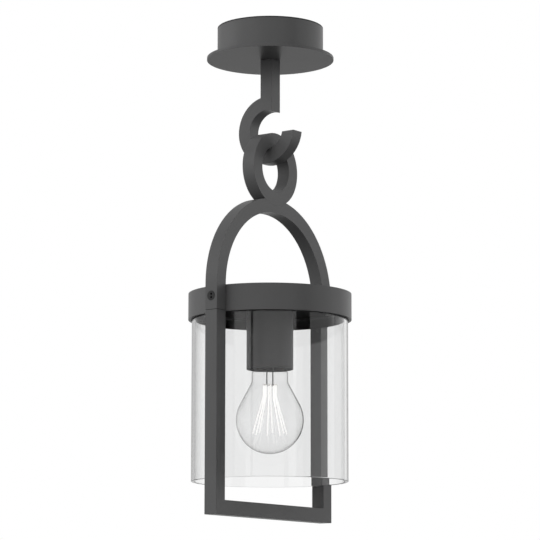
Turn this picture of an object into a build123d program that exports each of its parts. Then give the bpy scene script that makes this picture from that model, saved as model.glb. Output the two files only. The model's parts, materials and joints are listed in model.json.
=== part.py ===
from build123d import *
import os
from math import cos, radians, sin, sqrt, tan

os.makedirs("parts", exist_ok=True)

# Sizes are in millimetres. The origin is on the lamp's axis at the ceiling, and z runs up.
# The arch and the foot frame lie in the XZ plane, and the hook lies in the YZ plane.

# Square bar of the hook, ring, arch and foot frame
bar = 12.8

# General clearances
thread_gap = 0.1
seat_gap = 0.3

# Canopy
canopy_gasket_thickness = 1.0
drum_radius = 48.2
drum_wall = 1.5
drum_height = 26.5
drum_lip = 4.2
drum_lip_thickness = 1.5
plate_radius = 57.75
plate_thickness = 2.5

# Mounting strap with two slots for ceiling screws
strap_end_gap = 6.7
strap_width = 25.0
strap_thickness = 2.5
slot_edge = 4.0
slot_length = 12.0
slot_width = 5.0

# Stud, nuts and washer that carry the hook
stud_radius = 4.0
stud_in_hook = 14.0
stud_below_ceiling = 1.0
stud_nut_flats = 13.0
stud_nut_height = 6.5
washer_radius = 9.0
washer_thickness = 1.6

# Terminal block on the canopy plate
block_length = 27.0
block_width = 15.0
block_height = 13.0
block_offset = 29.0
pole_pitch = 9.0
pole_count = 3
wire_hole_radius = 1.7
clamp_screw_radius = 1.4
clamp_screw_length = 5.0
clamp_screw_sink = 0.6
clamp_screw_offset = 4.6
fixing_radius = 1.3
fixing_head_radius = 2.4
fixing_head_height = 1.4
fixing_floor = 0.7

# Earth stud on the canopy plate
earth_x = -24.0
earth_y = 24.0
earth_radius = 2.0
earth_length = 9.0
earth_nut_flats = 7.0
earth_nut_height = 3.2

# Cable grommet in the plate, behind the stem
grommet_reach = 21.0
cable_angle = 36.5
cable_radius = 3.0
grommet_neck = 4.8
grommet_flange = 6.4
grommet_flange_thickness = 1.2

# Hook, an open C under a square stem
stem_length = 65.5
hook_inner_radius = 18.2
hook_tip_drop = 3.4

# Ring that hangs on the hook and is let into the arch
ring_inner_radius = 20.3
hang_gap = 0.3
ring_sink = 5.6
ring_fit = 0.08

# Glass cylinder and its gasket
glass_radius = 70.2
glass_wall = 3.0
glass_length = 153.5
gasket_wall = 0.7
gasket_gap = 0.05
gasket_flange = 1.2
gasket_sleeve = 8.8

# Cap that holds the glass
cap_wall = 2.4
cap_height = 23.5
cap_top_thickness = 2.5
shoulder_inset = 1.2
shoulder_margin = 1.0
post_radius = 4.0
post_edge = 4.0
post_count = 3

# Legs of the arch and the foot frame, joined by a tenon under each frame screw
leg_gap = 0.3
seam_rise = 0.5
seam_gap = 0.2
frame_height = 178.5
tenon_width = 8.0
tenon_thickness = 6.0
tenon_gap = 0.15
tenon_past_screw = 6.4
screw_rise = 12.0
screw_radius = 2.0
screw_head_radius = 4.4
screw_grip = 5.0
spanner_hole_radius = 0.95
spanner_hole_depth = 1.2
spanner_hole_pitch = 2.95

# Cover plate inside the cap
cover_thickness = 1.2
cover_screw_radius = 1.5
cover_screw_grip = 5.5
cover_screw_head_radius = 2.8
cover_screw_head_height = 1.8

# Cable gland on the cap, behind the axis
gland_reach = 28.0
gland_thread_radius = 6.0
gland_flats = 15.0
gland_hex_height = 3.0
gland_stub_radius = 5.2
gland_stub_height = 3.0
gland_dome_radius = 7.0
gland_dome_roof = 1.4
gland_seal_wall = 0.8
gland_nut_flats = 16.0
gland_nut_height = 3.5
gland_tail = 1.0

# Lampholder
holder_radius = 21.0
holder_wall = 1.5
holder_top_thickness = 2.0
holder_length = 54.1
nipple_radius = 5.0
nipple_bore = 3.4
nipple_in_body = 6.0
nipple_nut_flats = 14.0
nipple_nut_height = 3.0
nipple_tail = 1.0
body_gap = 0.4
mouth_inset = 0.3
shell_wall = 0.6
shell_gap = 0.3
shell_inset = 3.0
shell_headroom = 1.0
wire_way_radius = 1.2
wire_way_offset = 2.1
contact_thickness = 0.6
contact_rise = 3.5
contact_half_length = 6.0
contact_width = 5.0
contact_pad_half = 3.0
contact_gap = 0.3
rivet_radius = 1.2
rivet_head_radius = 2.0
rivet_head_height = 0.8
rivet_grip = 5.0
rivet_offset = 3.4

# Bulb with an E27 screw cap
bulb_radius = 30.3
bulb_length = 105.4
bulb_glass = 0.6
bulb_tip_depth = 29.6
bulb_cap_radius = 13.2
bulb_cap_wall = 0.5
bulb_cap_length = 26.5
bulb_cap_top_radius = 9.0
bulb_cap_cone = 2.8
insulator_height = 1.8
insulator_top_radius = 5.8
tip_radius = 4.9
tip_height = 1.4
tip_edge = 0.4
tip_gap = 0.1
neck_in_cap = 7.0
neck_cap_gap = 0.4
neck_below_cap = 2.0
neck_flare = 3.4
neck_radius = 16.2
neck_fillets = [2.0, 3.0, 9.0]
cone_angle = 28.0
mount_gap = 0.3
mount_flare_thickness = 1.2
mount_stalk_radius = 6.5
mount_in_cap = 1.5
lead_offset = 4.5
lead_radius = 0.55
lead_in_mount = 4.5
lead_length = 18.4
carrier_half_width = 0.8
carrier_thickness = 0.4
carrier_split = 1.0
carrier_split_angle = 67.5
filament_count = 8
filament_radius = 0.48
filament_top_reach = 5.7
filament_straight = 9.9
filament_spread = 15.4
filament_drop = 34.0
board_height = 9.5
board_thickness = 1.2
board_gap = 0.5

# Levels and places worked out from the sizes above
drum_bottom = -canopy_gasket_thickness - drum_height
plate_bottom = drum_bottom - plate_thickness
lip_radius = drum_radius - drum_lip
strap_half = drum_radius - drum_wall - strap_end_gap
slot_centre = strap_half - slot_edge - slot_length / 2
stud_hole = stud_radius + thread_gap
hook_outer_radius = hook_inner_radius + bar
hook_z = plate_bottom - stem_length
ring_outer_radius = ring_inner_radius + bar
hook_reach = sqrt(hook_inner_radius**2 - (bar / 2) ** 2)
ring_reach = sqrt(ring_inner_radius**2 - (bar / 2) ** 2)
ring_z = hook_z - hook_reach - ring_reach + hang_gap

recess_radius = glass_radius + gasket_wall + 2 * gasket_gap
cap_radius = recess_radius + cap_wall
arch_inner_radius = cap_radius + leg_gap
arch_outer_radius = arch_inner_radius + bar
arch_z = ring_z - ring_outer_radius + ring_sink - arch_outer_radius
leg_x = arch_inner_radius + bar / 2
cap_top = arch_z
cap_bottom = cap_top - cap_height
seam_z = cap_bottom + seam_rise
screw_z = seam_z + screw_rise
frame_top = seam_z - seam_gap
frame_bottom = seam_z - frame_height
shoulder_z = screw_z - screw_radius - shoulder_margin
glass_inner_radius = glass_radius - glass_wall
cap_bore = glass_inner_radius - shoulder_inset
glass_top = shoulder_z - gasket_flange
glass_bottom = glass_top - glass_length
cap_ceiling = cap_top - cap_top_thickness
cover_top = shoulder_z + cover_thickness
post_reach = cap_bore - post_radius - post_edge
screw_head_depth = screw_head_radius - screw_radius
frame_screw_length = bar + leg_gap + screw_grip

holder_top = shoulder_z
holder_ceiling = holder_top - holder_top_thickness
holder_rim = holder_top - holder_length
body_radius = holder_radius - holder_wall - body_gap
mouth_z = holder_rim + mouth_inset
shell_inner_radius = bulb_cap_radius + shell_gap
shell_outer_radius = shell_inner_radius + shell_wall
body_bore = shell_outer_radius + thread_gap
tip_z = holder_rim + bulb_tip_depth
contact_z = tip_z + contact_gap
roof_z = contact_z + contact_rise
cap_rim_z = tip_z - bulb_cap_length
insulator_z = tip_z - tip_height - tip_gap - insulator_height
bulb_bottom = tip_z - bulb_length
bulb_z = bulb_bottom + bulb_radius
neck_inner_start = bulb_cap_radius - bulb_cap_wall - neck_cap_gap
neck_top = cap_rim_z + neck_in_cap
mount_end = cap_rim_z + mount_in_cap
lead_end = mount_end - lead_length
carrier_bottom = lead_end - carrier_thickness

cable_x = cos(radians(cable_angle))
cable_y = sin(radians(cable_angle))
BASE = (Align.CENTER, Align.CENTER, Align.MIN)
HUNG = (Align.CENTER, Align.CENTER, Align.MAX)
BELOW = (Align.CENTER, Align.MAX)


def turned(*profile):
    """A piece turned about the lamp's axis from (radius, height) points."""
    with BuildPart() as piece:
        with BuildSketch(Plane.XZ):
            with BuildLine():
                Polyline(*profile, close=True)
            make_face()
        revolve(axis=Axis.Z)
    return piece


def sleeve(outer, inner, bottom, height):
    """A plain ring about the lamp's axis."""
    top = bottom + height
    return turned((inner, bottom), (outer, bottom), (outer, top), (inner, top))


def hex_nut(flats, bore, bottom, height, centre=(0, 0)):
    """A hexagon nut with a plain bore, standing on the level given."""
    with BuildPart() as nut:
        with BuildSketch(Plane.XY.offset(bottom)):
            with Locations(centre):
                RegularPolygon(flats / 2, 6, major_radius=False)
                Circle(bore, mode=Mode.SUBTRACT)
        extrude(amount=height)
    return nut


# Ceiling fixings

with BuildPart() as mounting_strap:
    with BuildSketch(Plane.XY):
        Rectangle(2 * strap_half, strap_width)
        with Locations((-slot_centre, 0), (slot_centre, 0)):
            SlotOverall(slot_length, slot_width, mode=Mode.SUBTRACT)
        Circle(stud_hole, mode=Mode.SUBTRACT)
    extrude(amount=-strap_thickness)
mounting_strap.part.label = "mounting_strap"
export_step(mounting_strap.part, "parts/mounting_strap.step")

strap_nut = hex_nut(stud_nut_flats, stud_hole, -strap_thickness - stud_nut_height, stud_nut_height)
strap_nut.part.label = "strap_nut"
export_step(strap_nut.part, "parts/strap_nut.step")

ceiling_gasket = sleeve(drum_radius, lip_radius, -canopy_gasket_thickness, canopy_gasket_thickness)
ceiling_gasket.part.label = "ceiling_gasket"
export_step(ceiling_gasket.part, "parts/ceiling_gasket.step")

canopy_drum = turned(
    (lip_radius, -canopy_gasket_thickness),
    (drum_radius, -canopy_gasket_thickness),
    (drum_radius, drum_bottom),
    (drum_radius - drum_wall, drum_bottom),
    (drum_radius - drum_wall, -canopy_gasket_thickness - drum_lip_thickness),
    (lip_radius, -canopy_gasket_thickness - drum_lip_thickness),
)
canopy_drum.part.label = "canopy_drum"
export_step(canopy_drum.part, "parts/canopy_drum.step")

grommet_place = (grommet_reach * cable_x, grommet_reach * cable_y)
with BuildPart() as canopy_plate:
    with BuildSketch(Plane.XY.offset(plate_bottom)):
        Circle(plate_radius)
        Circle(stud_hole, mode=Mode.SUBTRACT)
        with Locations(grommet_place):
            Circle(grommet_neck + thread_gap, mode=Mode.SUBTRACT)
    extrude(amount=plate_thickness)
    with BuildSketch(Plane.XY.offset(plate_bottom + fixing_floor)):
        with Locations((-pole_pitch / 2, block_offset), (pole_pitch / 2, block_offset)):
            Circle(fixing_radius + thread_gap)
    extrude(amount=plate_thickness, mode=Mode.SUBTRACT)
canopy_plate.part.label = "canopy_plate"
export_step(canopy_plate.part, "parts/canopy_plate.step")

with BuildPart() as plate_grommet:
    with BuildSketch(Plane.XY.offset(plate_bottom - thread_gap - grommet_flange_thickness)):
        with Locations(grommet_place):
            Circle(grommet_flange)
    extrude(amount=grommet_flange_thickness)
    with BuildSketch(Plane.XY.offset(plate_bottom - thread_gap)):
        with Locations(grommet_place):
            Circle(grommet_neck)
    extrude(amount=plate_thickness + 2 * thread_gap)
    with BuildSketch(Plane.XY.offset(drum_bottom + thread_gap)):
        with Locations(grommet_place):
            Circle(grommet_flange)
    extrude(amount=grommet_flange_thickness)
    with Locations((*grommet_place, drum_bottom + thread_gap + grommet_flange_thickness)):
        Hole(cable_radius, plate_thickness + 2 * thread_gap + 2 * grommet_flange_thickness)
plate_grommet.part.label = "plate_grommet"
export_step(plate_grommet.part, "parts/plate_grommet.step")

block_top = drum_bottom + block_height
with BuildPart() as terminal_block:
    with BuildSketch(Plane.XY.offset(drum_bottom)):
        with Locations((0, block_offset)):
            Rectangle(block_length, block_width)
        with Locations((-pole_pitch / 2, block_offset), (pole_pitch / 2, block_offset)):
            Circle(fixing_radius + thread_gap, mode=Mode.SUBTRACT)
    extrude(amount=block_height)
    with BuildSketch(Plane.XZ.offset(-block_offset)):
        with Locations((0, drum_bottom + block_height / 2)):
            with GridLocations(pole_pitch, 0, pole_count, 1):
                Circle(wire_hole_radius)
    extrude(amount=block_width / 2, both=True, mode=Mode.SUBTRACT)
    with BuildSketch(Plane.XY.offset(block_top)):
        with Locations((0, block_offset)):
            with GridLocations(pole_pitch, 2 * clamp_screw_offset, pole_count, 2):
                Circle(clamp_screw_radius + thread_gap)
    extrude(amount=-block_height / 2, mode=Mode.SUBTRACT)
terminal_block.part.label = "terminal_block"
export_step(terminal_block.part, "parts/terminal_block.step")

with BuildPart() as terminal_screws:
    with BuildSketch(Plane.XY.offset(block_top - clamp_screw_sink)):
        with Locations((0, block_offset)):
            with GridLocations(pole_pitch, 2 * clamp_screw_offset, pole_count, 2):
                Circle(clamp_screw_radius)
    extrude(amount=-clamp_screw_length)
terminal_screws.part.label = "terminal_screws"
export_step(terminal_screws.part, "parts/terminal_screws.step")

with BuildPart() as terminal_fixings:
    with Locations((-pole_pitch / 2, block_offset, block_top), (pole_pitch / 2, block_offset, block_top)):
        Cylinder(fixing_head_radius, fixing_head_height, align=BASE)
        Cylinder(fixing_radius, block_height + plate_thickness - fixing_floor, align=HUNG)
terminal_fixings.part.label = "terminal_fixings"
export_step(terminal_fixings.part, "parts/terminal_fixings.step")

with BuildPart() as earth_stud:
    with Locations((earth_x, earth_y, drum_bottom)):
        Cylinder(earth_radius, earth_length, align=BASE)
earth_stud.part.label = "earth_stud"
export_step(earth_stud.part, "parts/earth_stud.step")

earth_hole = earth_radius + thread_gap
earth_nut = hex_nut(earth_nut_flats, earth_hole, drum_bottom, earth_nut_height, (earth_x, earth_y))
earth_nut.part.label = "earth_nut"
export_step(earth_nut.part, "parts/earth_nut.step")

# Hook and the stud that carries it

with BuildPart() as hook:
    with BuildSketch(Plane.YZ):
        with Locations((0, hook_z)):
            Circle(hook_outer_radius)
        with Locations((-bar / 2, hook_z - hook_tip_drop)):
            Rectangle(
                hook_outer_radius,
                hook_outer_radius + hook_tip_drop,
                align=(Align.MAX, Align.MIN),
                mode=Mode.SUBTRACT,
            )
        with Locations((0, plate_bottom)):
            Rectangle(bar, stem_length, align=BELOW)
        with Locations((0, hook_z)):
            Circle(hook_inner_radius, mode=Mode.SUBTRACT)
    extrude(amount=bar / 2, both=True)
    with Locations((0, 0, plate_bottom)):
        Hole(stud_hole, stud_in_hook + thread_gap)
hook.part.label = "hook"
export_step(hook.part, "parts/hook.step")

stud_bottom = plate_bottom - stud_in_hook
with BuildPart() as hook_stud:
    with BuildSketch(Plane.XY.offset(stud_bottom)):
        Circle(stud_radius)
    extrude(amount=-stud_below_ceiling - stud_bottom)
hook_stud.part.label = "hook_stud"
export_step(hook_stud.part, "parts/hook_stud.step")

hook_washer = sleeve(washer_radius, stud_hole, drum_bottom, washer_thickness)
hook_washer.part.label = "hook_washer"
export_step(hook_washer.part, "parts/hook_washer.step")

hook_lock_nut = hex_nut(stud_nut_flats, stud_hole, drum_bottom + washer_thickness, stud_nut_height)
hook_lock_nut.part.label = "hook_lock_nut"
export_step(hook_lock_nut.part, "parts/hook_lock_nut.step")

# Ring, arch and foot frame

with BuildPart() as hanging_ring:
    with BuildSketch(Plane.XZ):
        with Locations((0, ring_z)):
            Circle(ring_outer_radius)
            Circle(ring_inner_radius, mode=Mode.SUBTRACT)
    extrude(amount=bar / 2, both=True)
hanging_ring.part.label = "hanging_ring"
export_step(hanging_ring.part, "parts/hanging_ring.step")

right_screw = Plane(origin=(arch_outer_radius, 0, screw_z), x_dir=(0, 1, 0), z_dir=(1, 0, 0))
left_screw = Plane(origin=(-arch_outer_radius, 0, screw_z), x_dir=(0, -1, 0), z_dir=(-1, 0, 0))
leg_places = [(-leg_x, 0), (leg_x, 0)]

with BuildPart() as arch:
    with BuildSketch(Plane.XZ):
        with Locations((0, arch_z)):
            Circle(arch_outer_radius)
            Rectangle(2 * arch_outer_radius, arch_outer_radius, align=BELOW, mode=Mode.SUBTRACT)
            Rectangle(2 * arch_outer_radius, arch_z - seam_z, align=BELOW)
            Circle(arch_inner_radius, mode=Mode.SUBTRACT)
            Rectangle(2 * arch_inner_radius, arch_z - seam_z, align=BELOW, mode=Mode.SUBTRACT)
        with Locations((0, ring_z)):
            Circle(ring_outer_radius + ring_fit, mode=Mode.SUBTRACT)
    extrude(amount=bar / 2, both=True)
    with BuildSketch(Plane.XY.offset(seam_z)):
        with Locations(*leg_places):
            Rectangle(tenon_thickness + 2 * tenon_gap, tenon_width + 2 * tenon_gap)
    extrude(amount=screw_rise + tenon_past_screw + tenon_gap, mode=Mode.SUBTRACT)
    with Locations(right_screw, left_screw):
        CounterSinkHole(screw_radius + thread_gap, screw_head_radius + thread_gap, bar, 90)
arch.part.label = "arch"
export_step(arch.part, "parts/arch.step")

with BuildPart() as foot_frame:
    with BuildSketch(Plane.XZ):
        with Locations((0, frame_top)):
            Rectangle(2 * arch_outer_radius, frame_top - frame_bottom, align=BELOW)
            Rectangle(2 * arch_inner_radius, frame_top - frame_bottom - bar, align=BELOW, mode=Mode.SUBTRACT)
    extrude(amount=bar / 2, both=True)
    with BuildSketch(Plane.XY.offset(frame_top)):
        with Locations(*leg_places):
            Rectangle(tenon_thickness, tenon_width)
    extrude(amount=screw_z + tenon_past_screw - frame_top)
    with Locations(right_screw, left_screw):
        Hole(screw_radius + thread_gap, bar)
foot_frame.part.label = "foot_frame"
export_step(foot_frame.part, "parts/foot_frame.step")

with BuildPart() as frame_screws:
    with Locations(right_screw, left_screw):
        Cylinder(screw_radius, frame_screw_length, align=HUNG)
        Cone(screw_radius, screw_head_radius, screw_head_depth, align=HUNG)
        with Locations((0, -spanner_hole_pitch / 2), (0, spanner_hole_pitch / 2)):
            Hole(spanner_hole_radius, spanner_hole_depth)
frame_screws.part.label = "frame_screws"
export_step(frame_screws.part, "parts/frame_screws.step")

# Cap, its cover plate and the cable gland

gland_place = (gland_reach * cable_x, gland_reach * cable_y)
with BuildPart() as cap:
    with BuildSketch(Plane.XZ):
        with BuildLine():
            Polyline(
                (0, cap_top),
                (cap_radius, cap_top),
                (cap_radius, cap_bottom),
                (recess_radius, cap_bottom),
                (recess_radius, shoulder_z),
                (cap_bore, shoulder_z),
                (cap_bore, cap_ceiling),
                (0, cap_ceiling),
                close=True,
            )
        make_face()
    revolve(axis=Axis.Z)
    with BuildSketch(Plane.XY.offset(cover_top)):
        with PolarLocations(post_reach, post_count, 90):
            Circle(post_radius)
    extrude(amount=cap_ceiling - cover_top)
    with BuildSketch(Plane.XY.offset(cover_top)):
        with PolarLocations(post_reach, post_count, 90):
            Circle(cover_screw_radius + thread_gap)
    extrude(amount=cover_screw_grip + thread_gap, mode=Mode.SUBTRACT)
    with Locations((*gland_place, cap_top)):
        Hole(gland_thread_radius + thread_gap, cap_top_thickness)
    with Locations(right_screw, left_screw):
        Hole(screw_radius + thread_gap, frame_screw_length + thread_gap)
cap.part.label = "cap"
export_step(cap.part, "parts/cap.step")

with BuildPart() as cap_cover:
    with BuildSketch(Plane.XY.offset(shoulder_z)):
        Circle(cap_bore - seat_gap)
        Circle(nipple_radius + thread_gap, mode=Mode.SUBTRACT)
        with PolarLocations(post_reach, post_count, 90):
            Circle(cover_screw_radius + thread_gap, mode=Mode.SUBTRACT)
    extrude(amount=cover_thickness)
cap_cover.part.label = "cap_cover"
export_step(cap_cover.part, "parts/cap_cover.step")

with BuildPart() as cover_screws:
    with Locations((0, 0, shoulder_z)):
        with PolarLocations(post_reach, post_count, 90):
            Cylinder(cover_screw_head_radius, cover_screw_head_height, align=HUNG)
            Cylinder(cover_screw_radius, cover_thickness + cover_screw_grip, align=BASE)
cover_screws.part.label = "cover_screws"
export_step(cover_screws.part, "parts/cover_screws.step")

gland_bore = cable_radius + gland_seal_wall + thread_gap
gland_hex_top = cap_top + gland_hex_height
gland_stub_top = gland_hex_top + gland_stub_height
gland_depth = cap_top_thickness + gland_nut_height + gland_tail
with BuildPart() as gland_body:
    with BuildSketch(Plane.XY.offset(cap_top)):
        with Locations(gland_place):
            RegularPolygon(gland_flats / 2, 6, major_radius=False)
    extrude(amount=gland_hex_height)
    with BuildSketch(Plane.XY.offset(cap_top)):
        with Locations(gland_place):
            Circle(gland_thread_radius)
    extrude(amount=-gland_depth)
    with BuildSketch(Plane.XY.offset(gland_hex_top)):
        with Locations(gland_place):
            Circle(gland_stub_radius)
    extrude(amount=gland_stub_height)
    with Locations((*gland_place, gland_stub_top)):
        Hole(gland_bore, gland_stub_height + gland_hex_height + gland_depth)
gland_body.part.label = "gland_body"
export_step(gland_body.part, "parts/gland_body.step")

with BuildPart() as gland_dome:
    with BuildSketch(Plane.XY.offset(gland_hex_top)):
        with Locations(gland_place):
            Circle(gland_dome_radius)
            Circle(gland_stub_radius + thread_gap, mode=Mode.SUBTRACT)
    extrude(amount=gland_stub_height + thread_gap)
    with BuildSketch(Plane.XY.offset(gland_stub_top + thread_gap)):
        with Locations(gland_place):
            Circle(gland_dome_radius)
            Circle(cable_radius, mode=Mode.SUBTRACT)
    extrude(amount=gland_dome_roof)
    chamfer(gland_dome.faces().sort_by(Axis.Z)[-1].outer_wire().edges(), gland_dome_roof / 2)
gland_dome.part.label = "gland_dome"
export_step(gland_dome.part, "parts/gland_dome.step")

with BuildPart() as gland_seal:
    with BuildSketch(Plane.XY.offset(cap_top)):
        with Locations(gland_place):
            Circle(cable_radius + gland_seal_wall)
            Circle(cable_radius, mode=Mode.SUBTRACT)
    extrude(amount=gland_hex_height + gland_stub_height)
gland_seal.part.label = "gland_seal"
export_step(gland_seal.part, "parts/gland_seal.step")

gland_nut = hex_nut(
    gland_nut_flats,
    gland_thread_radius + thread_gap,
    cap_ceiling - gland_nut_height,
    gland_nut_height,
    gland_place,
)
gland_nut.part.label = "gland_nut"
export_step(gland_nut.part, "parts/gland_nut.step")

# Glass and its gasket

glass_cylinder = sleeve(glass_radius, glass_inner_radius, glass_bottom, glass_length)
glass_cylinder.part.label = "glass_cylinder"
export_step(glass_cylinder.part, "parts/glass_cylinder.step")

glass_gasket = turned(
    (glass_inner_radius, shoulder_z),
    (recess_radius - gasket_gap, shoulder_z),
    (recess_radius - gasket_gap, glass_top - gasket_sleeve),
    (glass_radius + gasket_gap, glass_top - gasket_sleeve),
    (glass_radius + gasket_gap, glass_top),
    (glass_inner_radius, glass_top),
)
glass_gasket.part.label = "glass_gasket"
export_step(glass_gasket.part, "parts/glass_gasket.step")

# Lampholder

nipple_hole = nipple_radius + thread_gap
holder_cover = turned(
    (nipple_hole, holder_top),
    (holder_radius, holder_top),
    (holder_radius, holder_rim),
    (holder_radius - holder_wall, holder_rim),
    (holder_radius - holder_wall, holder_ceiling),
    (nipple_hole, holder_ceiling),
)
holder_cover.part.label = "holder_cover"
export_step(holder_cover.part, "parts/holder_cover.step")

nipple_bottom = holder_ceiling - nipple_in_body
nipple_top = cover_top + nipple_nut_height + nipple_tail
holder_nipple = sleeve(nipple_radius, nipple_bore, nipple_bottom, nipple_top - nipple_bottom)
holder_nipple.part.label = "holder_nipple"
export_step(holder_nipple.part, "parts/holder_nipple.step")

nipple_nut = hex_nut(nipple_nut_flats, nipple_hole, cover_top, nipple_nut_height)
nipple_nut.part.label = "nipple_nut"
export_step(nipple_nut.part, "parts/nipple_nut.step")

nipple_floor = nipple_bottom - thread_gap
with BuildPart() as holder_body:
    with BuildSketch(Plane.XZ):
        with BuildLine():
            Polyline(
                (0, nipple_floor),
                (nipple_hole, nipple_floor),
                (nipple_hole, holder_ceiling),
                (body_radius, holder_ceiling),
                (body_radius, mouth_z),
                (body_bore, mouth_z),
                (body_bore, roof_z),
                (0, roof_z),
                close=True,
            )
        make_face()
    revolve(axis=Axis.Z)
    with Locations((0, -wire_way_offset, nipple_floor), (0, wire_way_offset, nipple_floor)):
        Hole(wire_way_radius, nipple_floor - roof_z)
    with BuildSketch(Plane.XY.offset(roof_z)):
        with Locations((rivet_offset, 0)):
            Circle(rivet_radius + thread_gap)
    extrude(amount=rivet_grip + thread_gap, mode=Mode.SUBTRACT)
holder_body.part.label = "holder_body"
export_step(holder_body.part, "parts/holder_body.step")

shell_bottom = mouth_z + shell_inset
shell_length = tip_z - shell_headroom - shell_bottom
threaded_shell = sleeve(shell_outer_radius, shell_inner_radius, shell_bottom, shell_length)
threaded_shell.part.label = "threaded_shell"
export_step(threaded_shell.part, "parts/threaded_shell.step")

with BuildPart() as centre_contact:
    with BuildSketch(Plane.XZ):
        with BuildLine():
            Polyline(
                (-contact_half_length, roof_z),
                (contact_half_length, roof_z),
                (contact_half_length, roof_z - contact_thickness),
                (-contact_half_length + 2 * contact_thickness, roof_z - contact_thickness),
                (-contact_pad_half + contact_thickness, contact_z + contact_thickness),
                (contact_pad_half, contact_z + contact_thickness),
                (contact_pad_half, contact_z),
                (-contact_pad_half, contact_z),
                (-contact_half_length, roof_z - contact_thickness),
                close=True,
            )
        make_face()
    extrude(amount=contact_width / 2, both=True)
    with BuildSketch(Plane.XY.offset(roof_z)):
        with Locations((rivet_offset, 0)):
            Circle(rivet_radius + thread_gap)
    extrude(amount=-contact_thickness, mode=Mode.SUBTRACT)
centre_contact.part.label = "centre_contact"
export_step(centre_contact.part, "parts/centre_contact.step")

with BuildPart() as contact_rivet:
    with Locations((rivet_offset, 0, roof_z - contact_thickness)):
        Cylinder(rivet_head_radius, rivet_head_height, align=HUNG)
        Cylinder(rivet_radius, contact_thickness + rivet_grip, align=BASE)
contact_rivet.part.label = "contact_rivet"
export_step(contact_rivet.part, "parts/contact_rivet.step")

# Bulb

cap_inner = bulb_cap_radius - bulb_cap_wall
bulb_cap = turned(
    (cap_inner, cap_rim_z),
    (bulb_cap_radius, cap_rim_z),
    (bulb_cap_radius, insulator_z - bulb_cap_cone),
    (bulb_cap_top_radius, insulator_z),
    (bulb_cap_top_radius - bulb_cap_wall, insulator_z),
    (cap_inner, insulator_z - bulb_cap_cone - bulb_cap_wall),
)
bulb_cap.part.label = "bulb_cap"
export_step(bulb_cap.part, "parts/bulb_cap.step")

bulb_insulator = turned(
    (0, insulator_z),
    (bulb_cap_top_radius, insulator_z),
    (insulator_top_radius, insulator_z + insulator_height),
    (0, insulator_z + insulator_height),
)
bulb_insulator.part.label = "bulb_insulator"
export_step(bulb_insulator.part, "parts/bulb_insulator.step")

bulb_tip = turned(
    (0, tip_z - tip_height),
    (tip_radius, tip_z - tip_height),
    (tip_radius, tip_z - tip_edge),
    (tip_radius - tip_edge, tip_z),
    (0, tip_z),
)
bulb_tip.part.label = "bulb_tip"
export_step(bulb_tip.part, "parts/bulb_tip.step")

cone = radians(cone_angle)
with BuildPart() as bulb_envelope:
    for inset, extra, mode in ((0, 0, Mode.ADD), (bulb_glass, 1, Mode.SUBTRACT)):
        ball = bulb_radius - inset
        start = neck_inner_start - inset
        neck = neck_radius - inset
        flare_z = cap_rim_z - neck_below_cap
        shoulder = (ball * cos(cone), bulb_z + ball * sin(cone))
        cone_top = shoulder[1] + (shoulder[0] - neck) / tan(cone)
        middle = (cone - radians(90)) / 2
        with BuildSketch(Plane.XZ):
            with BuildLine():
                FilletPolyline(
                    (start, neck_top + extra),
                    (start, flare_z),
                    (neck, flare_z - neck_flare),
                    (neck, cone_top),
                    shoulder,
                    radius=neck_fillets,
                )
                ThreePointArc(shoulder, (ball * cos(middle), bulb_z + ball * sin(middle)), (0, bulb_z - ball))
                Polyline((0, bulb_z - ball), (0, neck_top + extra), (start, neck_top + extra))
            make_face()
        revolve(axis=Axis.Z, mode=mode)
bulb_envelope.part.label = "bulb_envelope"
export_step(bulb_envelope.part, "parts/bulb_envelope.step")

mount_flare = neck_inner_start - bulb_glass - mount_gap
lead_places = [(-lead_offset, 0), (lead_offset, 0)]
with BuildPart() as bulb_mount:
    with BuildSketch(Plane.XZ):
        with BuildLine():
            Polyline(
                (0, neck_top),
                (mount_flare, neck_top),
                (mount_flare, neck_top - mount_flare_thickness),
                (mount_stalk_radius, neck_top - mount_flare_thickness),
                (mount_stalk_radius, mount_end),
                (0, mount_end),
                close=True,
            )
        make_face()
    revolve(axis=Axis.Z)
    with BuildSketch(Plane.XY.offset(mount_end)):
        with Locations(*lead_places):
            Circle(lead_radius + thread_gap)
    extrude(amount=lead_in_mount + thread_gap, mode=Mode.SUBTRACT)
bulb_mount.part.label = "bulb_mount"
export_step(bulb_mount.part, "parts/bulb_mount.step")

with BuildPart() as bulb_leads:
    with BuildSketch(Plane.XY.offset(lead_end)):
        with Locations(*lead_places):
            Circle(lead_radius)
    extrude(amount=lead_length + lead_in_mount)
bulb_leads.part.label = "bulb_leads"
export_step(bulb_leads.part, "parts/bulb_leads.step")

carrier_outer = filament_top_reach + carrier_half_width
with BuildPart() as filament_carriers:
    with BuildSketch(Plane.XY.offset(carrier_bottom)):
        Circle(carrier_outer)
        Circle(filament_top_reach - carrier_half_width, mode=Mode.SUBTRACT)
        Rectangle(2 * carrier_outer, carrier_split, rotation=carrier_split_angle, mode=Mode.SUBTRACT)
    extrude(amount=carrier_thickness)
filament_carriers.part.label = "filament_carriers"
export_step(filament_carriers.part, "parts/filament_carriers.step")

filament_bend = carrier_bottom - filament_straight
with BuildPart() as one_filament:
    with BuildLine(Plane.XZ) as filament_line:
        Polyline(
            (filament_top_reach, carrier_bottom),
            (filament_top_reach, filament_bend),
            (filament_spread, filament_bend - filament_drop),
        )
    with BuildSketch(Plane.XY.offset(carrier_bottom)):
        with Locations((filament_top_reach, 0)):
            Circle(filament_radius)
    sweep(path=filament_line.wire(), transition=Transition.ROUND)
with BuildPart() as bulb_filaments:
    with PolarLocations(0, filament_count):
        add(one_filament.part)
bulb_filaments.part.label = "bulb_filaments"
export_step(bulb_filaments.part, "parts/bulb_filaments.step")

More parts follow.
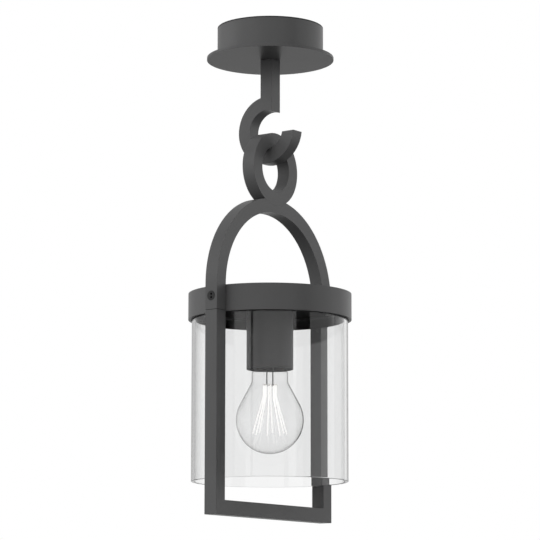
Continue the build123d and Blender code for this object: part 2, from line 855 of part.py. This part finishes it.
board_half = cap_inner - board_gap
with BuildPart() as bulb_driver:
    with BuildSketch(Plane.XY.offset(neck_top + board_gap)):
        Rectangle(2 * board_half, board_thickness)
    extrude(amount=board_height)
bulb_driver.part.label = "bulb_driver"
export_step(bulb_driver.part, "parts/bulb_driver.step")
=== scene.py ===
import json
import math

import bmesh
import bpy
from mathutils import Matrix, Vector


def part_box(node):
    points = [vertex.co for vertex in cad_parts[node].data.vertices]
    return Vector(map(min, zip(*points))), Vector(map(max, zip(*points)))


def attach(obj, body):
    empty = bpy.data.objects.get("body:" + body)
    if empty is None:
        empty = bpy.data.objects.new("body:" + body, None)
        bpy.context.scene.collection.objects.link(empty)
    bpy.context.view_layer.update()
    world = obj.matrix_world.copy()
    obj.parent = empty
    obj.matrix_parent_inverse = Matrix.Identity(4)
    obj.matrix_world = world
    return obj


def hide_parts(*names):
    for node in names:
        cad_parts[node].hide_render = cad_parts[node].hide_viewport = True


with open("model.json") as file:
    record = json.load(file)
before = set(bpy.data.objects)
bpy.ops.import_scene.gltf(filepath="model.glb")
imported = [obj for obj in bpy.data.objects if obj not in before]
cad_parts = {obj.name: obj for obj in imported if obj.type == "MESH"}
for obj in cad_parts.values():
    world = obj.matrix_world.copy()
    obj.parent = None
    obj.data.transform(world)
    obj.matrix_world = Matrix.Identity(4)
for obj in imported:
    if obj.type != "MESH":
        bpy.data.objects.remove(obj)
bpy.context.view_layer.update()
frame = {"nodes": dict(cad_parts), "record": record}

MM = 0.001
record = frame["record"]
BODY_OF = {node: body for body, nodes in record["behaviour"]["bodies"].items() for node in nodes}
SLOT_OF = {part["node"]: part["material_slot"] for part in record["subparts"]}


# Shader arithmetic


class Wire:
    """A shader output that takes part in sums: each operation adds the Math node that does it."""

    def __init__(self, finish, socket):
        self.finish = finish
        self.socket = socket

    def maths(self, operation, first, second):
        return self.finish.node("ShaderNodeMath", {"operation": operation}, {0: first, 1: second})

    def __add__(self, other):
        return self.maths("ADD", self, other)

    def __radd__(self, other):
        return self.maths("ADD", other, self)

    def __sub__(self, other):
        return self.maths("SUBTRACT", self, other)

    def __rsub__(self, other):
        return self.maths("SUBTRACT", other, self)

    def __mul__(self, other):
        return self.maths("MULTIPLY", self, other)

    def __rmul__(self, other):
        return self.maths("MULTIPLY", other, self)

    def __gt__(self, other):
        return self.maths("GREATER_THAN", self, other)

    def __lt__(self, other):
        return self.maths("LESS_THAN", self, other)


class Finish:
    """A node tree for one finish of the lamp, or for the light around it."""

    def __init__(self, tree):
        self.tree = tree
        self.tree.nodes.clear()

    def node(self, kind, settings=None, sockets=None, output=0):
        """Adds a node, sets it up, fills or links its sockets and gives one output back."""
        made = self.tree.nodes.new(kind)
        for key, value in (settings or {}).items():
            setattr(made, key, value)
        for key, value in (sockets or {}).items():
            if isinstance(value, Wire):
                self.tree.links.new(value.socket, made.inputs[key])
            else:
                made.inputs[key].default_value = value
        return Wire(self, made.outputs[output]) if made.outputs else None

    def place(self):
        """Where a point of the piece is, in metres of the lamp's frame."""
        return self.node("ShaderNodeTexCoord", output="Object")

    def grain(self, per_metre, detail=2.0, stretch=None):
        """Noise with so many lumps to the metre, drawn out along an axis where stretch says so."""
        place = self.place()
        if stretch:
            place = self.node(
                "ShaderNodeVectorMath", {"operation": "MULTIPLY"}, {0: place, 1: stretch}
            )
        return self.node(
            "ShaderNodeTexNoise", None, {"Vector": place, "Scale": per_metre, "Detail": detail}
        )

    def blend(self, share, first, second):
        """A colour between two, by share."""
        return self.node(
            "ShaderNodeMix", {"data_type": "RGBA"}, {0: share, 6: first, 7: second}, output=2
        )

    def ramp(self, value, start, end, first, last):
        """Eases from first to last while value runs from start to end."""
        return self.node(
            "ShaderNodeMapRange",
            {"interpolation_type": "SMOOTHSTEP"},
            {"Value": value, "From Min": start, "From Max": end, "To Min": first, "To Max": last},
        )

    def bump(self, height, depth):
        """A normal for lumps that are so deep, in metres."""
        return self.node(
            "ShaderNodeBump", None, {"Height": height, "Strength": 1.0, "Distance": depth}
        )

    def surface(self, sockets):
        """Ends the tree in one Principled surface."""
        shader = self.node("ShaderNodeBsdfPrincipled", None, sockets)
        self.node("ShaderNodeOutputMaterial", None, {"Surface": shader})


def new_finish(name):
    material = bpy.data.materials.new(name)
    material.use_nodes = True
    return material, Finish(material.node_tree)


def shade(colour, factor):
    """A colour made lighter or darker, with full alpha."""
    return tuple(min(1.0, part * factor) for part in colour[:3]) + (1.0,)


# Finishes

COAT_SPREAD = 0.18
PLATE_DARK, PLATE_LIGHT = 0.86, 1.06
PEEL_DEPTH = 0.03 * MM
LINE_DEPTH = 0.02 * MM
SKIN_DEPTH = 0.03 * MM
RIM_SHADE = 0.55
DEEP_TINT = (0.87, 0.873, 0.872, 1.0)
WHITE = (1.0, 1.0, 1.0, 1.0)


def powder_coat(name, colour, roughness):
    """Satin powder coat: fine grain over a long, shallow orange peel."""
    material, f = new_finish(name)
    fine = f.grain(2200, 3.0)
    peel = f.grain(330, 1.0)
    cloud = f.grain(28, 2.0)
    tone = fine * 0.55 + cloud * 0.45
    f.surface(
        {
            "Base Color": f.blend(
                tone, shade(colour, 1 - COAT_SPREAD), shade(colour, 1 + COAT_SPREAD)
            ),
            "Roughness": roughness + 0.12 * (fine - 0.5),
            "Specular IOR Level": 0.3,
            "Normal": f.bump(fine * 0.5 + peel * 0.5, PEEL_DEPTH),
        }
    )
    return material


def plated_steel(name, colour, roughness):
    """Zinc or nickel plate with fine drawing lines and a slightly cloudy tone."""
    material, f = new_finish(name)
    lines = f.grain(900, 3.0, (1.0, 1.0, 0.06))
    cloud = f.grain(90, 2.0)
    f.surface(
        {
            "Base Color": f.blend(cloud, shade(colour, PLATE_DARK), shade(colour, PLATE_LIGHT)),
            "Metallic": 1.0,
            "Roughness": roughness + 0.18 * (lines - 0.5),
            "Normal": f.bump(lines, LINE_DEPTH),
        }
    )
    return material


def moulding(name, colour, roughness, spread=0.1, gloss=0.5):
    """Moulded plastic, rubber, or a near-black matt colour that paints shade: an even colour with a
    faint cloud and a fine skin.
    """
    material, f = new_finish(name)
    cloud = f.grain(60, 2.0)
    skin = f.grain(1500, 2.0)
    f.surface(
        {
            "Base Color": f.blend(cloud, shade(colour, 1 - spread), shade(colour, 1 + spread)),
            "Specular IOR Level": gloss,
            "Roughness": roughness + 0.1 * (skin - 0.5),
            "Normal": f.bump(skin, SKIN_DEPTH),
        }
    )
    return material


def clear_glass(name, tint, bending, absorbed, rim, paler=None):
    """Clear glass with faint drawn streaks, with painted shade that darkens its colour at its
    outline, and darker where sight runs far in it.

    rim says how far a face turns away before it darkens, and paler from which height to which
    the outline is fainter, and by how much.
    """
    material, f = new_finish(name)
    streaks = f.grain(40, 1.0, (1.0, 1.0, 0.05))
    plain = f.blend(streaks, shade(tint, 0.99), shade(tint, 1.01))
    # Painted shade: the colour darkens towards RIM_SHADE as a face turns edge-on, standing in for
    # the dark edges of glass.
    facing = f.node("ShaderNodeLayerWeight", None, {"Blend": 0.5}, output="Facing")
    outline = f.ramp(facing, *rim, 0.0, 1.0)
    if paler:
        height = f.node("ShaderNodeSeparateXYZ", None, {"Vector": f.place()}, output="Z")
        outline = outline * f.ramp(height, *paler, 1.0)
    shader = f.node(
        "ShaderNodeBsdfPrincipled",
        None,
        {
            "Base Color": f.blend(outline, plain, shade(tint, RIM_SHADE)),
            "Roughness": 0.0,
            "IOR": bending,
            "Transmission Weight": 1.0,
        },
    )
    depth = f.node("ShaderNodeVolumeAbsorption", None, {"Color": DEEP_TINT, "Density": absorbed})
    f.node("ShaderNodeOutputMaterial", None, {"Surface": shader, "Volume": depth})
    return material


def lit_phosphor(name):
    """Cream phosphor rods that glow a little."""
    material, f = new_finish(name)
    speck = f.grain(1800, 2.0)
    f.surface(
        {
            "Base Color": f.blend(speck, (0.9, 0.88, 0.82, 1.0), (0.96, 0.95, 0.92, 1.0)),
            "Roughness": 0.5,
            "Emission Color": f.blend(speck, (0.98, 0.975, 0.96, 1.0), (1.0, 0.998, 0.99, 1.0)),
            "Emission Strength": 0.9,
        }
    )
    return material


def seen_straight(f):
    """1 for what is seen straight or through glass, 0 for what paint or a mirror shows."""
    met_paint = f.node("ShaderNodeLightPath", output="Diffuse Depth")
    met_mirror = f.node("ShaderNodeLightPath", output="Glossy Depth")
    return (met_paint < 0.5) * (met_mirror < 0.5)


FACES_OF_A_WALL = 2
FACES_AT_THE_BULB = 6


def passed_faces(f, count):
    """1 for what is seen through so many faces of glass."""
    faces = f.node("ShaderNodeLightPath", output="Transmission Depth")
    return (faces > count - 0.5) * (faces < count + 0.5)


FLOOR_GLOW = 0.75
GLOW_IN_THE_BULB = 0.6


def pale_floor(name):
    """A floor that looks white and keeps the lamp's shadow, but throws little light back up.

    It also glows for what the bulb's glass mirrors inside its wall.
    """
    material, f = new_finish(name)
    material.cycles.emission_sampling = "NONE"
    straight = seen_straight(f)
    met_paint = f.node("ShaderNodeLightPath", output="Diffuse Depth")
    in_the_bulb = (1 - straight) * (met_paint < 0.5) * passed_faces(f, FACES_AT_THE_BULB)
    cloud = f.grain(3, 2.0)
    pale = f.blend(cloud, (0.84, 0.84, 0.84, 1.0), (0.88, 0.88, 0.88, 1.0))
    paint = f.node(
        "ShaderNodeBsdfDiffuse", None, {"Color": f.blend(straight, (0.08, 0.08, 0.08, 1.0), pale)}
    )
    white = f.node("ShaderNodeEmission", None, {"Color": WHITE, "Strength": 1.0})
    glow = straight * FLOOR_GLOW + in_the_bulb * GLOW_IN_THE_BULB
    shader = f.node("ShaderNodeMixShader", None, {0: glow, 1: paint, 2: white})
    f.node("ShaderNodeOutputMaterial", None, {"Surface": shader})
    return material


ANTHRACITE = (0.075, 0.075, 0.0755)
FINISHES = {
    "anthracite_paint": powder_coat("anthracite_paint", ANTHRACITE, 0.38),
    # dark_paint is painted shade: near black for the cap's cover and inner walls, in place of the
    # shade inside the cap.
    "dark_paint": moulding("dark_paint", (0.006, 0.006, 0.006), 0.7),
    # recess_shade is painted shade: near black with little gloss, for the seam between arch and
    # foot frame and for the spanner holes.
    "recess_shade": moulding("recess_shade", (0.004, 0.004, 0.004), 0.8, gloss=0.08),
    "zinc_steel": plated_steel("zinc_steel", (0.62, 0.62, 0.61), 0.34),
    "dark_screw": powder_coat("dark_screw", shade(ANTHRACITE, 0.3), 0.4),
    "rubber": moulding("rubber", (0.02, 0.02, 0.02), 0.75),
    "silicone": moulding("silicone", (0.012, 0.012, 0.012), 0.55),
    "black_plastic": moulding("black_plastic", (0.016, 0.016, 0.017), 0.45),
    "white_plastic": moulding("white_plastic", (0.74, 0.73, 0.69), 0.4, 0.05),
    "brass": plated_steel("brass", (0.76, 0.58, 0.27), 0.3),
    "clear_glass": clear_glass("clear_glass", (0.935, 0.937, 0.937), 1.5, 12.0, (0.74, 0.9)),
    "bulb_glass": clear_glass(
        "bulb_glass", (0.984, 0.984, 0.984), 1.2, 60.0, (0.7, 0.95), (-0.389, -0.37, 0.2)
    ),
    "nickel": plated_steel("nickel", (0.74, 0.72, 0.68), 0.25),
    "lead_wire": plated_steel("lead_wire", (0.2, 0.2, 0.2), 0.4),
    "filament": lit_phosphor("filament"),
    "circuit_board": moulding("circuit_board", (0.03, 0.16, 0.07), 0.35),
}


# Making pieces


SHARP_CORNER = math.radians(40)
SMOOTH_CORNER = math.radians(32)
FLAT = math.radians(0.6)
SAME_SPOT = 2e-6


def stand_in(node, mesh):
    """Shows a new mesh in place of a node, on the node's body and in its finish."""
    piece = bpy.data.objects.new(node + "_shown", mesh)
    bpy.context.scene.collection.objects.link(piece)
    mesh.materials.append(FINISHES[SLOT_OF[node]])
    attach(piece, BODY_OF[node])
    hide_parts(node)
    return piece


def smoothed(mesh):
    """Shades a mesh as smooth, apart from its corners."""
    mesh.shade_smooth()
    mesh.set_sharp_from_angle(angle=SMOOTH_CORNER)


def eased(node, edge, keep=None):
    """A node's own form with its sharp edges eased; keep(edge) names edges that stay sharp."""
    bm = bmesh.new()
    bm.from_mesh(frame["nodes"][node].data)
    bmesh.ops.remove_doubles(bm, verts=bm.verts, dist=SAME_SPOT)
    bmesh.ops.dissolve_limit(bm, angle_limit=FLAT, verts=bm.verts, edges=bm.edges)
    sharp = [
        e
        for e in bm.edges
        if len(e.link_faces) == 2
        and e.calc_face_angle() > SHARP_CORNER
        and not (keep and keep(e))
    ]
    bmesh.ops.bevel(
        bm, geom=sharp, offset=edge, segments=2, profile=0.5, affect="EDGES", clamp_overlap=True
    )
    mesh = bpy.data.meshes.new(node + "_shown")
    bm.to_mesh(mesh)
    bm.free()
    smoothed(mesh)
    piece = stand_in(node, mesh)
    even = piece.modifiers.new("even_faces", "WEIGHTED_NORMAL")
    even.keep_sharp = True
    return piece


def second_finish(piece, finish, chosen):
    """Gives the chosen faces of a piece another finish."""
    piece.data.materials.append(finish)
    for face in piece.data.polygons:
        if chosen(face):
            face.material_index = 1


HOLD = 0.3 * MM
LONG_WALL = 8 * HOLD


def held(profile):
    """The same run with a point close to each end of long walls, so that they shade as straight."""
    run = []
    for here, after in zip(profile, profile[1:] + profile[:1]):
        start, end = Vector(here), Vector(after)
        run.append(here)
        if (end - start).length > LONG_WALL:
            step = (end - start).normalized() * HOLD
            run += [tuple(start + step), tuple(end - step)]
    return run


def turned(node, profile, steps):
    """A smooth piece about the lamp's axis, from a closed run of (radius, height) points.

    A radius may also be a function of the angle, for a thread.
    """
    bm = bmesh.new()
    rings = []
    for radius, height in profile:
        if radius == 0.0:
            rings.append([bm.verts.new((0, 0, height))])
            continue
        ring = []
        for step in range(steps):
            angle = 2 * math.pi * step / steps
            reach = radius(angle) if callable(radius) else radius
            ring.append(bm.verts.new((reach * math.cos(angle), reach * math.sin(angle), height)))
        rings.append(ring)
    closed = len(rings[0]) > 1 and len(rings[-1]) > 1
    pairs = list(zip(rings, rings[1:])) + ([(rings[-1], rings[0])] if closed else [])
    for first, second in pairs:
        for step in range(steps):
            after = (step + 1) % steps
            if len(first) == 1 and len(second) == 1:
                continue
            if len(first) == 1:
                bm.faces.new((first[0], second[step], second[after]))
            elif len(second) == 1:
                bm.faces.new((first[step], second[0], first[after]))
            else:
                bm.faces.new((first[step], second[step], second[after], first[after]))
    bmesh.ops.recalc_face_normals(bm, faces=bm.faces)
    mesh = bpy.data.meshes.new(node + "_shown")
    bm.to_mesh(mesh)
    bm.free()
    smoothed(mesh)
    return stand_in(node, mesh)


def rounded(points, radius, steps=5):
    """A closed run of (radius, height) points with each corner rounded."""
    run = []
    for before, here, after in zip(points[-1:] + points[:-1], points, points[1:] + points[:1]):
        corner = Vector(here)
        inward = (Vector(before) - corner).normalized() * radius
        outward = (Vector(after) - corner).normalized() * radius
        for step in range(steps + 1):
            t = step / steps
            spot = corner + inward * (1 - t) ** 2 + outward * t ** 2
            run.append((spot.x, spot.y))
    return run


# Most pieces keep the form of their nodes, with eased edges

EDGE = 0.3 * MM
FLUSH = 0.2 * MM
SMALL_EDGES = (
    (0.25 * MM, ("mounting_strap", "terminal_block", "holder_body", "cap_cover")),
    (0.12 * MM, ("cover_screws", "terminal_fixings", "terminal_screws", "earth_stud")),
    (0.2 * MM, ("strap_nut", "hook_lock_nut", "nipple_nut", "earth_nut", "hook_washer")),
    (0.2 * MM, ("gland_nut", "gland_body", "gland_dome", "plate_grommet", "hook_stud")),
    (0.2 * MM, ("contact_rivet",)),
    (0.1 * MM, ("ceiling_gasket", "gland_seal", "glass_gasket", "holder_nipple")),
    (0.1 * MM, ("centre_contact", "bulb_insulator", "bulb_tip", "bulb_driver")),
    (0.05 * MM, ("bulb_leads", "filament_carriers", "bulb_filaments")),
)
ring_low, ring_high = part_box("hanging_ring")
ring_middle = (ring_low + ring_high) / 2
let_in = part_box("arch")[1].z


def in_the_seat(edge):
    """Edges of the seat where the ring is let into the arch, which meet flush."""
    for vert in edge.verts:
        away = Vector((vert.co.x - ring_middle.x, vert.co.z - ring_middle.z)).length
        off_the_ring = abs(away - (ring_high.z - ring_middle.z))
        if vert.co.z > let_in + FLUSH or off_the_ring > FLUSH:
            return False
    return True


for node in ("canopy_drum", "canopy_plate", "hook", "holder_cover"):
    eased(node, EDGE)
eased("hanging_ring", EDGE, in_the_seat)
arch = eased("arch", EDGE, in_the_seat)
foot = eased("foot_frame", EDGE)
cap = eased("cap", EDGE)
seam_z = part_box("arch")[0].z


def inside_the_cap(face):
    """The cap's inner walls, which face its axis and are darkened with painted shade."""
    return face.center.xy.dot(face.normal.xy) < -0.5 * face.center.xy.length


def at_the_seam(face):
    """The ends of the legs where arch and foot frame meet, darkened with painted shade in the seam.
    """
    return abs(face.normal.z) > 0.5 and abs(face.center.z - seam_z) < 2 * EDGE


# Painted shade: the cap's inner walls take the near-black dark_paint colour.
second_finish(cap, FINISHES["dark_paint"], inside_the_cap)
# Painted shade along the seam where arch and foot frame meet.
second_finish(arch, FINISHES["recess_shade"], at_the_seam)
second_finish(foot, FINISHES["recess_shade"], at_the_seam)
for edge, nodes in SMALL_EDGES:
    for node in nodes:
        eased(node, edge)

# Frame screws, with two spanner holes in each head, darkened with painted shade

SPANNER_PITCH = 2.95 * MM
SPANNER_RADIUS = 0.95 * MM
SPANNER_DEPTH = 1.2 * MM
screws = eased("frame_screws", EDGE)
screw_low, screw_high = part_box("frame_screws")
screw_z = (screw_low.z + screw_high.z) / 2


def in_a_spanner_hole(face):
    """The walls and floors of the spanner holes, with their eased rims, darkened with painted
    shade.
    """
    depth = screw_high.x - abs(face.center.x)
    aside = math.hypot(face.center.y, abs(face.center.z - screw_z) - SPANNER_PITCH / 2)
    within = 0.05 * MM < depth < SPANNER_DEPTH + 0.1 * MM
    return within and aside < SPANNER_RADIUS + 0.4 * MM


# Painted shade in the spanner holes.
second_finish(screws, FINISHES["recess_shade"], in_a_spanner_hole)

# E27 thread on the bulb's cap and in the shell of the lampholder

THREAD_PITCH = 3.629 * MM
THREAD_ROOT = 12.35 * MM
THREAD_DEPTH = 0.85 * MM
THREAD_PLAY = 0.25 * MM
RUN_OUT = 1.2 * MM
THREAD_STEPS = 120
CAP_LEVELS = 68
SHELL_LEVELS = 84
CAP_CONE = 2.8 * MM
CAP_TOP = 9.0 * MM
CAP_WALL = 0.5 * MM
CAP_INSIDE = THREAD_ROOT - 0.04 * MM
cap_low, cap_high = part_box("bulb_cap")
cone_z = cap_high.z - CAP_CONE
shell_low, shell_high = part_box("threaded_shell")


def thread_rise(angle, height):
    """Where a right-hand thread stands between its root, 0, and its crest, 1."""
    return 0.5 + 0.5 * math.cos(2 * math.pi * height / THREAD_PITCH - angle)


def cap_thread(height):
    """The cap's radius by angle: the thread rises from the rim and runs out under the cone."""
    start = min(1.0, (height - cap_low.z) / RUN_OUT)
    end = min(1.0, (cone_z - height) / RUN_OUT)

    def reach(angle):
        return THREAD_ROOT + THREAD_DEPTH * end * (1 - start * (1 - thread_rise(angle, height)))

    return reach


def shell_thread(height):
    """The shell's inner radius by angle: the cap's thread with some play, open at both ends."""
    cut = min(1.0, (height - shell_low.z) / RUN_OUT, (shell_high.z - height) / RUN_OUT)
    root = THREAD_ROOT + THREAD_PLAY

    def reach(angle):
        return root + THREAD_DEPTH * (1 - cut * (1 - thread_rise(angle, height)))

    return reach


def levels(low, high, count):
    """Heights from low to high in so many equal steps."""
    return [low + (high - low) * step / count for step in range(count + 1)]


turned(
    "bulb_cap",
    [(cap_thread(z), z) for z in levels(cap_low.z, cone_z, CAP_LEVELS)]
    + [(CAP_TOP, cap_high.z), (CAP_TOP - CAP_WALL, cap_high.z)]
    + [(CAP_INSIDE, cone_z - CAP_WALL), (CAP_INSIDE, cap_low.z)],
    THREAD_STEPS,
)
turned(
    "threaded_shell",
    [(shell_thread(z), z) for z in levels(shell_low.z, shell_high.z, SHELL_LEVELS)]
    + [(shell_high.x, shell_high.z), (shell_high.x, shell_low.z)],
    THREAD_STEPS,
)

# Glass cylinder

GLASS_WALL = 3.0 * MM
GLASS_LIP = 0.7 * MM
GLASS_STEPS = 256
glass_low, glass_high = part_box("glass_cylinder")
glass_outer = glass_high.x
glass_inner = glass_outer - GLASS_WALL
glass_wall = [
    (glass_outer, glass_low.z),
    (glass_outer, glass_high.z),
    (glass_inner, glass_high.z),
    (glass_inner, glass_low.z),
]
turned("glass_cylinder", held(rounded(glass_wall, GLASS_LIP)), GLASS_STEPS)

# Bulb

ENVELOPE_WALL = 0.6 * MM
ENVELOPE_STEPS = 160
BALL_STEPS = 48
BEND_STEPS = 8
NECK = 16.2 * MM
NECK_IN_CAP = 12.3 * MM
FLARE_LOW = 12.4 * MM
FLARE_HIGH = 9.0 * MM
CONE_BEND = 9.0 * MM
NECK_BEND = 3.0 * MM
FLARE_BEND = 2.0 * MM
CONE = math.radians(28.0)
MOUNT_EDGE = 0.4 * MM
bulb_low, bulb_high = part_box("bulb_envelope")
ball = bulb_high.x
ball_z = bulb_low.z + ball
neck_top = bulb_high.z


def envelope_line(inset):
    """The bulb's outline from its foot up to the neck, set in by a wall."""
    radius = ball - inset
    neck = NECK - inset
    start = NECK_IN_CAP - inset
    line = []
    for step in range(BALL_STEPS + 1):
        angle = -math.pi / 2 + (math.pi / 2 + CONE) * step / BALL_STEPS
        line.append(Vector((radius * math.cos(angle), ball_z + radius * math.sin(angle))))
    shoulder = line[-1].copy()
    cone_top = shoulder.y + (shoulder.x - neck) / math.tan(CONE)
    bends = [
        (Vector((neck, cone_top)), CONE_BEND),
        (Vector((neck, neck_top - FLARE_LOW)), NECK_BEND),
        (Vector((start, neck_top - FLARE_HIGH)), FLARE_BEND),
    ]
    stops = [shoulder] + [corner for corner, bend in bends] + [Vector((start, neck_top))]
    for (corner, bend), before, after in zip(bends, stops, stops[2:]):
        inward = (before - corner).normalized()
        outward = (after - corner).normalized()
        turn = inward.angle(outward)
        reach = bend / math.tan(turn / 2)
        middle = corner + (inward + outward).normalized() * (bend / math.sin(turn / 2))
        first = (corner + inward * reach - middle).normalized()
        last = (corner + outward * reach - middle).normalized()
        for step in range(BEND_STEPS + 1):
            line.append(middle + first.slerp(last, step / BEND_STEPS) * bend)
    line.append(Vector((start, neck_top)))
    line[0].x = 0.0
    return line


outside = envelope_line(0.0)
inside = envelope_line(ENVELOPE_WALL)
envelope = [tuple(point) for point in outside + inside[::-1]]
turned("bulb_envelope", held(envelope), ENVELOPE_STEPS)
eased("bulb_mount", MOUNT_EDGE)

# Camera, from the photograph's viewing angle

PICTURE_WIDTH = 540.0
FOCAL_LENGTH = 2613.73
SENSOR_WIDTH = 36.0
NEAREST = 0.05
FARTHEST = 60.0
VIEW_TURN = 0.636373
VIEW_PITCH = 0.152585
VIEW_ROLL = 0.0013
VIEW_REACH = 2.3289
VIEW_HEIGHT = -0.581385
forward = Vector(
    (
        math.cos(VIEW_TURN) * math.cos(VIEW_PITCH),
        math.sin(VIEW_TURN) * math.cos(VIEW_PITCH),
        math.sin(VIEW_PITCH),
    )
)
right = Vector((math.sin(VIEW_TURN), -math.cos(VIEW_TURN), 0.0))
up = right.cross(forward)
camera_data = bpy.data.cameras.new("camera")
camera_data.sensor_width = SENSOR_WIDTH
camera_data.lens = FOCAL_LENGTH * SENSOR_WIDTH / PICTURE_WIDTH
camera_data.clip_start = NEAREST
camera_data.clip_end = FARTHEST
camera = bpy.data.objects.new("camera", camera_data)
turn = Matrix((right, up, -forward)).transposed().to_4x4()
stand = Vector(
    (-VIEW_REACH * math.cos(VIEW_TURN), -VIEW_REACH * math.sin(VIEW_TURN), VIEW_HEIGHT)
)
camera.matrix_world = Matrix.Translation(stand) @ turn @ Matrix.Rotation(VIEW_ROLL, 4, "Z")
bpy.context.scene.collection.objects.link(camera)
bpy.context.scene.camera = camera

# Floor

FLOOR_Z = -2.2
FLOOR_REACH = 25.0
corners = [(-1, -1), (1, -1), (1, 1), (-1, 1)]
floor_mesh = bpy.data.meshes.new("floor")
floor_mesh.from_pydata(
    [(FLOOR_REACH * x, FLOOR_REACH * y, FLOOR_Z) for x, y in corners], [], [(0, 1, 2, 3)]
)
floor = bpy.data.objects.new("floor", floor_mesh)
bpy.context.scene.collection.objects.link(floor)
floor.visible_diffuse = False
floor.visible_glossy = False
floor_mesh.materials.append(pale_floor("pale_floor"))

# Lights, each with its azimuth and elevation in degrees, its distance, width and height in metres
# and its glow. Panels show in reflections, and fills only light the paint.

PANELS = {
    "front_panel": (7.0, 8.0, 3.4, 4.2, 3.0, 0.74),
    "left_panel": (-40.8, 8.0, 3.6, 1.65, 3.0, 0.86),
    "right_panel": (84.0, 8.0, 3.0, 2.65, 3.0, 0.96),
}
FILLS = {
    "front_fill": (-44.0, 34.0, 6.0, 4.0, 4.0, 2.85),
    "left_fill": (-100.0, 10.0, 4.0, 3.2, 4.0, 3.15),
    "right_fill": (130.0, 16.0, 3.6, 3.0, 3.6, 3.0),
}
LAMP_MIDDLE = Vector((0.0, 0.0, -0.25))
towards = Vector((-math.cos(VIEW_TURN), -math.sin(VIEW_TURN), 0.0))


def mirrored_once(data):
    """Lets the near wall of the glass mirror a panel on its outside, but not on its inside."""
    data.use_nodes = True
    f = Finish(data.node_tree)
    mirrors = f.node("ShaderNodeLightPath", output="Glossy Depth")
    inside = (mirrors > 0.5) * passed_faces(f, FACES_OF_A_WALL)
    glow = f.node("ShaderNodeEmission", None, {"Strength": 1 - inside})
    f.node("ShaderNodeOutputLight", None, {"Surface": glow})


def soft_panel(name, azimuth, elevation, distance, wide, high, glow):
    """A flat soft light that faces the lamp; azimuth runs to the right of the camera."""
    a, e = math.radians(azimuth), math.radians(elevation)
    level = towards * math.cos(a) + right * math.sin(a)
    way = level * math.cos(e) + Vector((0, 0, math.sin(e)))
    data = bpy.data.lights.new(name, "AREA")
    data.shape = "RECTANGLE"
    data.size = wide
    data.size_y = high
    data.energy = glow * math.pi * wide * high
    panel = bpy.data.objects.new(name, data)
    panel.location = LAMP_MIDDLE + way * distance
    panel.rotation_euler = (-way).to_track_quat("-Z", "Y").to_euler()
    bpy.context.scene.collection.objects.link(panel)
    return panel


panels = {name: soft_panel(name, *setting) for name, setting in PANELS.items()}
mirrored_once(panels["right_panel"].data)
for name, setting in FILLS.items():
    fill = soft_panel(name, *setting)
    fill.visible_glossy = False
    fill.visible_transmission = False

# The room is white where it is seen straight, and dimmer for mirrored light and for the paint.
# A ramp's numbers are the two ends on its axis of the room, and then the strength at each end.

world = bpy.data.worlds.new("white_room")
bpy.context.scene.world = world
world.use_nodes = True
world.cycles.sampling_method = "NONE"
room = Finish(world.node_tree)


def along(axis):
    """How far a direction in the room points along an axis, from -1 to 1."""
    ends = {0: way, 1: tuple(axis)}
    return room.node("ShaderNodeVectorMath", {"operation": "DOT_PRODUCT"}, ends, output="Value")


way = room.node("ShaderNodeTexCoord", output="Generated")
behind = along(-towards)
beside = along(right)
height = along((0.0, 0.0, 1.0))
straight = seen_straight(room)
met_paint = room.node("ShaderNodeLightPath", output="Diffuse Depth")
mirrored = (met_paint < 0.5) * (1 - straight)
around = room.ramp(behind, 0.1, 0.5, 0.03, 0.42) + room.ramp(behind, 0.6, 0.95, 0.0, 0.18)
to_the_right = room.ramp(beside, 0.0, 0.25, 0.0, 1.0) * room.ramp(behind, 0.88, 0.95, 1.0, 0.0)
around = around + to_the_right * room.ramp(behind, 0.2, 0.5, 0.0, 0.36)
to_the_left = room.ramp(beside, -0.92, -0.75, 1.0, 0.0)
around = around + to_the_left * room.ramp(behind, 0.1, 0.4, 0.72, 0.3)
under = room.ramp(behind, 0.1, 0.9, 0.44, 0.8) * room.ramp(height, -0.5, -0.2, 0.35, 1.0)
level = room.ramp(height, -0.06, 0.08, 0.0, 1.0)
reflected = under * (1 - level) + around * level
ambient = room.ramp(height, -0.3, 0.2, 0.08, 0.46) + room.ramp(height, 0.2, 1.0, 0.0, 0.2)
strength = straight + mirrored * reflected + (1 - straight - mirrored) * ambient
light = room.node("ShaderNodeBackground", None, {"Color": WHITE, "Strength": strength})
room.node("ShaderNodeOutputWorld", None, {"Surface": light})

bpy.context.scene.view_settings.view_transform = "Standard"
